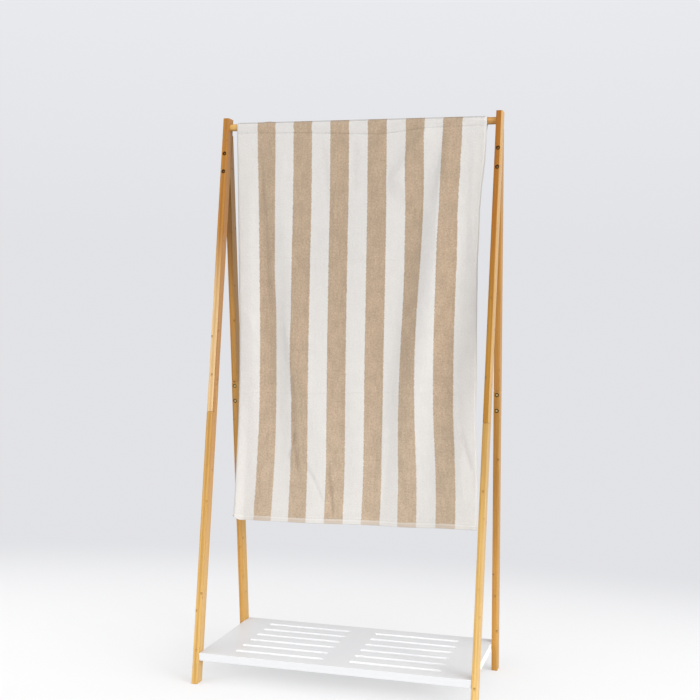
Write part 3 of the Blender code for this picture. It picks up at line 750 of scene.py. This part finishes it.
def cloth_relief(across, along, quarter_turn):
    """Creases, wrinkles and ripples, out of the cloth's face."""
    free = ease(np.clip((np.abs(along) - quarter_turn) / RELIEF_START, 0, 1))[:, None]
    relief = np.zeros((len(along), len(across)))
    for cell_across, cell_along, height, seed in RIPPLES:
        relief += height * free * soft_noise(across, along, cell_across, cell_along, seed)
    for start, end, height, width in WRINKLES:
        relief += wrinkle(across, along, start, end, height, width)
    for start, end, height, width in CREASES:
        relief += crease(across, along, start, end, height, width)
    u, v, height, radius = TOP_LUMP
    away = (across[None] - u) ** 2 + (along[:, None] - v) ** 2
    relief += height * np.exp(-away / radius**2)
    touching = np.abs(along)[:, None] < quarter_turn
    return np.where(touching, np.maximum(relief, 0), relief)


def pull_right(across, height):
    """How much further right than its folds say the front drop hangs."""
    heights, *pulls = np.array(PULLS).T
    pulls = [0 * height] + [np.interp(height, heights, pull) for pull in pulls]
    shares = [np.interp(across, PULL_PLACES, place) for place in np.eye(len(PULL_PLACES))]
    return np.stack(pulls, axis=1) @ np.stack(shares)


def draped_cloth(across, along):
    """Points of the cloth's middle surface, a row for each distance along it."""
    wrap_radius = ROD_RADIUS + REST_GAP + TOWEL_THICK / 2
    quarter_turn = wrap_radius * math.pi / 2
    drop = np.maximum(np.abs(along) - quarter_turn, 0)
    angle = np.clip(along, -quarter_turn, quarter_turn) / wrap_radius
    height = ROD_HEIGHT - drop

    places = np.array([through_table(place, height) for place, _ in FOLDS])
    stands = np.array([through_table(stand, height) for _, stand in FOLDS])
    kink = np.interp(along, [reach for reach, _ in KINKS], [stand for _, stand in KINKS])
    front = stand_between(places, stands, across) + kink[:, None]
    swell = (drop / BACK_LENGTH) ** BACK_SWELL
    back_places = np.array([np.full(len(along), place) for place, _ in BACK_FOLDS])
    back_stands = np.array([stand * swell for _, stand in BACK_FOLDS])
    back = stand_between(back_places, back_stands, across)
    hanging = (drop > 0)[:, None]
    on_front = (along > 0)[:, None]
    stand = np.where(hanging, np.where(on_front, front, back), 0)

    rippled = through_table(RIPPLED, height)[:, None]
    steps = rippled * np.diff(across)[None]
    moves = np.sqrt(np.maximum(steps**2 - np.diff(stand, axis=1) ** 2, 0))
    back_left = LEFT_EDGE[0] + (BACK_LEFT - LEFT_EDGE[0]) * drop / BACK_LENGTH
    left = np.where(along > 0, through_table(LEFT_EDGE, height), back_left)[:, None]
    x = left + np.concatenate([0 * left, np.cumsum(moves, axis=1)], axis=1)
    tuck = BACK_TUCK * ((drop / BACK_LENGTH) ** BACK_TUCK_SWELL)[:, None]
    tuck = tuck * np.clip(2 * across / TOWEL_WIDTH, 0, 1)
    x += np.where(on_front, pull_right(across, height), tuck)
    y = -wrap_radius * np.sin(angle)[:, None] - np.where(on_front, stand, -stand)
    skew = np.where(on_front, FRONT_SKEW * across[None] / TOWEL_WIDTH, 0)
    over_rod = ROD_HEIGHT + wrap_radius * np.cos(angle)[:, None]
    z = np.where(hanging, ROD_HEIGHT - drop[:, None] * (1 - skew), over_rod)

    # The front hem's left corner curls up towards the viewer
    corner = np.clip(1 - (across + TOWEL_WIDTH / 2) / CORNER_WIDTH, 0, 1)[None]
    share = np.clip(1 - (FRONT_LENGTH - along) / (2 * CORNER_WIDTH), 0, 1)[:, None]
    curl = CORNER_LIFT * (corner * share) ** 2
    return np.stack([x, y - curl / 2, z + curl], axis=2), quarter_turn


def face_normals(points):
    """Unit vectors out of the cloth's outer face at each point."""
    over = np.gradient(points, axis=1)
    down = np.gradient(points, axis=0)
    out = np.cross(down, over)
    return out / np.linalg.norm(out, axis=2, keepdims=True)


def cloth_rows():
    """How far along the cloth its rows of points lie, from the back hem to the front one."""
    rows = [np.array([-BACK_LENGTH])]
    for reach, step in ROW_STEPS:
        start = rows[-1][-1]
        count = max(1, round((reach - start) / step))
        rows.append(np.linspace(start, reach, count + 1)[1:])
    return np.concatenate(rows)


def make_towel():
    """The cloth as a fine grid on its folds, thickened; returns it and its grid."""
    across = np.linspace(-TOWEL_WIDTH / 2, TOWEL_WIDTH / 2, CLOTH_COLUMNS)
    along = cloth_rows()
    points, quarter_turn = draped_cloth(across, along)
    points += face_normals(points) * cloth_relief(across, along, quarter_turn)[:, :, None]

    bpy.ops.mesh.primitive_grid_add(x_subdivisions=len(across) - 1, y_subdivisions=len(along) - 1)
    towel = bpy.context.object
    towel.name = "beach_towel"
    mesh = towel.data
    mesh.vertices.foreach_set("co", points.ravel())
    mesh.uv_layers.remove(mesh.uv_layers[0])
    layer = mesh.uv_layers.new(name="Cloth")
    corners = np.empty(len(mesh.loops), int)
    mesh.loops.foreach_get("vertex_index", corners)
    flat = np.stack([across[corners % len(across)], along[corners // len(across)]], axis=1)
    layer.data.foreach_set("uv", flat.ravel())
    # Painted shade for the troughs of wrinkles that dip, kept on the points for the terry
    painted_shade = sum(wrinkle(across, along, *line) for line in WRINKLES if line[2] < 0)
    shade = mesh.attributes.new("TroughShade", "FLOAT", "POINT")
    shade.data.foreach_set("value", (-painted_shade * WRINKLE_SHADE).ravel())
    mesh.shade_smooth()
    mesh.update()

    pile = towel.vertex_groups.new(name="Pile")
    row, column = np.divmod(np.arange(len(mesh.vertices)), len(across))
    to_hem = np.minimum(FRONT_LENGTH - along[row], along[row] + BACK_LENGTH)
    to_side = TOWEL_WIDTH / 2 - np.abs(across[column])
    bare = (to_hem < HEM_BAND) | (to_side < SELVEDGE / 2)
    pile.add([int(n) for n in np.flatnonzero(~bare)], 1.0, "REPLACE")
    thicken = towel.modifiers.new("Thickness", "SOLIDIFY")
    thicken.thickness = TOWEL_THICK
    thicken.offset = 0
    thicken.vertex_group = "Pile"
    thicken.thickness_vertex_group = BARE_SHARE
    towel.data.materials.append(terry_material())
    return towel, (across, along, points)


def on_cloth(grid, u, v):
    """Points and outward unit vectors of the cloth at flat places."""
    across, along, points = grid
    normals = face_normals(points)
    column = (np.asarray(u) - across[0]) / (across[1] - across[0])
    row = np.interp(v, along, np.arange(len(along)))
    column_low = np.clip(column.astype(int), 0, len(across) - 2)
    row_low = np.clip(row.astype(int), 0, len(along) - 2)
    s = (column - column_low)[:, None]
    t = (row - row_low)[:, None]
    found = []
    for field in (points, normals):
        low = field[row_low, column_low] * (1 - s) + field[row_low, column_low + 1] * s
        high = field[row_low + 1, column_low] * (1 - s) + field[row_low + 1, column_low + 1] * s
        found.append(low * (1 - t) + high * t)
    return found


def make_stitches(grid):
    """One line of stitches along each hem, on both faces of the cloth, as one joined mesh."""
    reach = TOWEL_WIDTH / 2 - STITCH_PITCH
    starts = np.arange(-reach, reach, STITCH_PITCH)
    corners = []
    for hem in (FRONT_LENGTH - HEM_TURN, -BACK_LENGTH + HEM_TURN):
        row = np.full(len(starts), hem)
        first, normal = on_cloth(grid, starts, row)
        last, _ = on_cloth(grid, starts + STITCH_LENGTH, row)
        for face in (1, -1):
            lift = face * normal * (BARE_SHARE / 2 * TOWEL_THICK + THREAD_RADIUS * THREAD_RISE)
            sideways = np.cross(normal, last - first)
            sideways /= np.linalg.norm(sideways, axis=1, keepdims=True)
            start, end = first + lift, last + lift
            rings = [start]
            for share in STITCH_BODY:
                middle = start + (end - start) * share
                for turn in range(4):
                    angle = math.pi / 4 + turn * math.pi / 2
                    aside = sideways * math.cos(angle) + normal * math.sin(angle)
                    rings.append(middle + aside * THREAD_RADIUS)
            rings.append(end)
            corners.append(np.stack(rings, axis=1))
    corners = np.concatenate(corners)
    shape = [(0, 2, 1), (0, 3, 2), (0, 4, 3), (0, 1, 4)]
    shape += [(1, 2, 6, 5), (2, 3, 7, 6), (3, 4, 8, 7), (4, 1, 5, 8)]
    shape += [(9, 5, 6), (9, 6, 7), (9, 7, 8), (9, 8, 5)]
    count = len(corners)
    faces = [tuple(10 * stitch + n for n in face) for stitch in range(count) for face in shape]
    mesh = bpy.data.meshes.new("hem_stitches")
    mesh.from_pydata(corners.reshape(-1, 3).tolist(), [], faces)
    mesh.shade_smooth()
    mesh.materials.append(thread_material())
    stitches = bpy.data.objects.new("hem_stitches", mesh)
    bpy.context.scene.collection.objects.link(stitches)
    return stitches


def leg_face(end, along, across):
    """(y, z) of a point of a leg: along it from the floor, and across it towards the inside."""
    y = -ROD_HEIGHT * math.tan(LEAN) + along * math.sin(LEAN) + across * math.cos(LEAN)
    return (-end * y, along * math.cos(LEAN) - across * math.sin(LEAN))


def wear(node, material):
    """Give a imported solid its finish."""
    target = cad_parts[node]
    target.data.materials.clear()
    target.data.materials.append(material)


def dress_rack():
    for board, *tones in BAMBOO_TONES:
        turn = (LEAN if "front" in board else -LEAN, 0, 0)
        ends = BOARD_ENDS[board.split("_")[2]]
        wear("leg_" + board, bamboo_material("Bamboo " + board, turn, LEG_STRIPS, ends, tones))
    wear("rod", bamboo_material("Bamboo rod", (0, math.pi / 2, 0), ROD_STRIPS, ROD_ENDS, ROD_TONES))
    wear("shelf", paint_material())
    for side_name, side in (("left", -1), ("right", 1)):
        for level, along in APEX_BOLTS:
            y, z = leg_face(-1, along, -LEG_DEPTH / 2)
            name = f"bolt_apex_{side_name}_{level}"
            turn = (math.pi / 2 - LEAN, 0, 0)
            wear(name, bolt_material(name, (side * LEG_MIDDLE, y, z), turn, *APEX_HEAD))
        for end_name, end in (("front", -1), ("rear", 1)):
            for level, along in LAP_BOLTS:
                y, z = leg_face(end, along, LEG_DEPTH / 2)
                name = f"bolt_lap_{end_name}_{side_name}_{level}"
                turn = (math.pi / 2 + end * LEAN, 0, 0)
                wear(name, bolt_material(name, (side * LEG_MIDDLE, y, z), turn, *LAP_HEAD))


def add_camera():
    data = bpy.data.cameras.new("Camera")
    data.sensor_width = SENSOR_MM
    data.lens = LENS_MM
    data.shift_y = SHIFT_UP
    camera = bpy.data.objects.new("Camera", data)
    bpy.context.scene.collection.objects.link(camera)
    aim = Matrix.Rotation(CAMERA_YAW, 4, "Z") @ Matrix.Rotation(math.pi / 2 - CAMERA_DROP, 4, "X")
    roll = Matrix.Rotation(CAMERA_ROLL, 4, "Z")
    camera.matrix_world = Matrix.Translation(CAMERA_PLACE) @ aim @ roll
    bpy.context.scene.camera = camera


def add_light(name, place, target, side, power, colour):
    data = bpy.data.lights.new(name, "AREA")
    data.shape = "RECTANGLE"
    data.size = side
    data.size_y = side
    data.energy = power
    data.color = colour
    light = bpy.data.objects.new(name, data)
    light.location = place
    light.rotation_euler = (Vector(target) - Vector(place)).to_track_quat("-Z", "Y").to_euler()
    light.visible_camera = False
    bpy.context.scene.collection.objects.link(light)


def add_world():
    """A pale studio: the horizon's colour low down, a bright band above it, dimmer overhead."""
    world = bpy.data.worlds.new("Studio")
    world.use_nodes = True
    tree = world.node_tree
    direction = tree.nodes.new("ShaderNodeTexCoord")
    axes = tree.nodes.new("ShaderNodeSeparateXYZ")
    ramp = tree.nodes.new("ShaderNodeValToRGB")
    tree.links.new(direction.outputs["Generated"], axes.inputs[0])
    tree.links.new(axes.outputs["Z"], ramp.inputs[0])
    tree.links.new(ramp.outputs[0], tree.nodes["Background"].inputs["Color"])

    # The soft light is stronger on the viewer's side of the rack, and weaker behind it
    towards = tree.nodes.new("ShaderNodeVectorMath")
    towards.operation = "DOT_PRODUCT"
    towards.inputs[1].default_value = SOFT_SIDE
    lobe = tree.nodes.new("ShaderNodeMapRange")
    high = tree.nodes.new("ShaderNodeMapRange")
    strength = tree.nodes.new("ShaderNodeMix")
    for node, values in ((lobe, (*SOFT_TURN, *SOFT_RANGE)), (high, (*SOFT_START, 0.0, 1.0))):
        node.interpolation_type = "SMOOTHSTEP"
        for number, value in enumerate(values, start=1):
            node.inputs[number].default_value = value
    tree.links.new(direction.outputs["Generated"], towards.inputs[0])
    tree.links.new(towards.outputs["Value"], lobe.inputs[0])
    tree.links.new(axes.outputs["Z"], high.inputs[0])
    tree.links.new(high.outputs[0], strength.inputs[0])
    strength.inputs[2].default_value = SKY_STRENGTH
    tree.links.new(lobe.outputs[0], strength.inputs[3])
    tree.links.new(strength.outputs[0], tree.nodes["Background"].inputs["Strength"])
    stops = ramp.color_ramp.elements
    while len(stops) < len(SKY):
        stops.new(0.5)
    for stop, (height, colour) in zip(stops, SKY):
        stop.position = height
        stop.color = (*(part / SKY_STRENGTH for part in colour), 1.0)
    bpy.context.scene.world = world


def add_stage():
    bpy.ops.mesh.primitive_plane_add(size=FLOOR_SIZE)
    floor = bpy.context.object
    floor.name = "floor"
    floor.data.materials.append(floor_material())
    add_world()
    for light in LIGHTS:
        add_light(*light)
    bpy.context.scene.view_settings.view_transform = "Standard"


add_camera()
add_stage()
dress_rack()
towel, grid = make_towel()
stitches = make_stitches(grid)
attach(towel, "root")
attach(stitches, "root")
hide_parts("towel")
